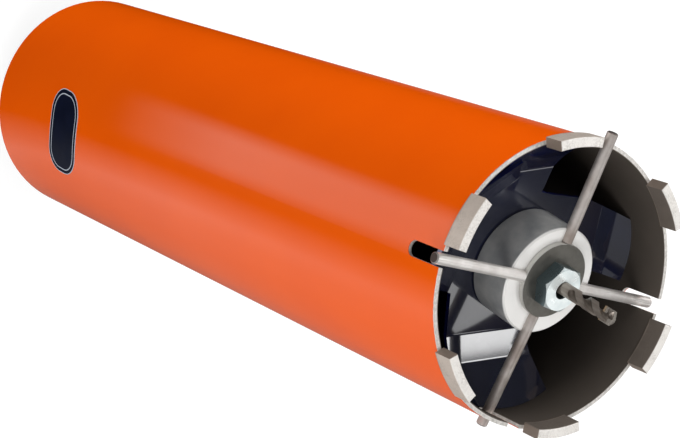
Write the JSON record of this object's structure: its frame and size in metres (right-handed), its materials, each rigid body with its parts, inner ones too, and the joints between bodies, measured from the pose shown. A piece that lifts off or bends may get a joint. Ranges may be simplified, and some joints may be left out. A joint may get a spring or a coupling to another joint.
{
  "type": "diamond core bit",
  "caption": "Dry diamond core bit: slotted steel barrel with diamond segments on its rim, a clamped rod cross with pilot drill in its mouth, and a threaded connector behind.",
  "frame": {"origin": "centre of the connector's flat end face, on which the bit stands", "axes": "+Z along the barrel's axis towards the cutting end; +X through the slot of the first rod, +Y through the slot of the second"},
  "size_m": [0.1389, 0.1389, 0.5102],
  "materials": {
    "barrel_paint": "gloss orange paint outside, bare steel rim, dark inside",
    "plate_steel": "dark rolled steel",
    "connector_steel": "turned steel",
    "hub_steel": "turned steel, bright face and grey side",
    "washer_steel": "satin grey steel",
    "bolt_zinc": "bluish zinc plating",
    "star_navy": "gloss navy",
    "screw_black": "blackened steel",
    "drill_steel": "brownish grey steel",
    "tip_carbide": "ground carbide",
    "segment_matrix": "sintered, granular, light grey",
    "rod_steel": "polished steel"
  },
  "bodies": {
    "root": {"barrel": "barrel_paint", "back_plate": "plate_steel", "connector": "connector_steel", "centring_hub": "hub_steel", "clamp_washer": "washer_steel", "hollow_bolt": "bolt_zinc", "rear_washer": "bolt_zinc", "lock_nut": "bolt_zinc", "centring_star": "star_navy", "drill_set_screw": "screw_black", "pilot_drill": "drill_steel", "drill_tip": "tip_carbide", "segment_1": "segment_matrix", "segment_2": "segment_matrix", "segment_3": "segment_matrix", "segment_4": "segment_matrix", "segment_5": "segment_matrix", "segment_6": "segment_matrix", "rod_top": "rod_steel", "rod_left": "rod_steel", "rod_bottom": "rod_steel", "rod_right": "rod_steel"}
  },
  "joints": []
}
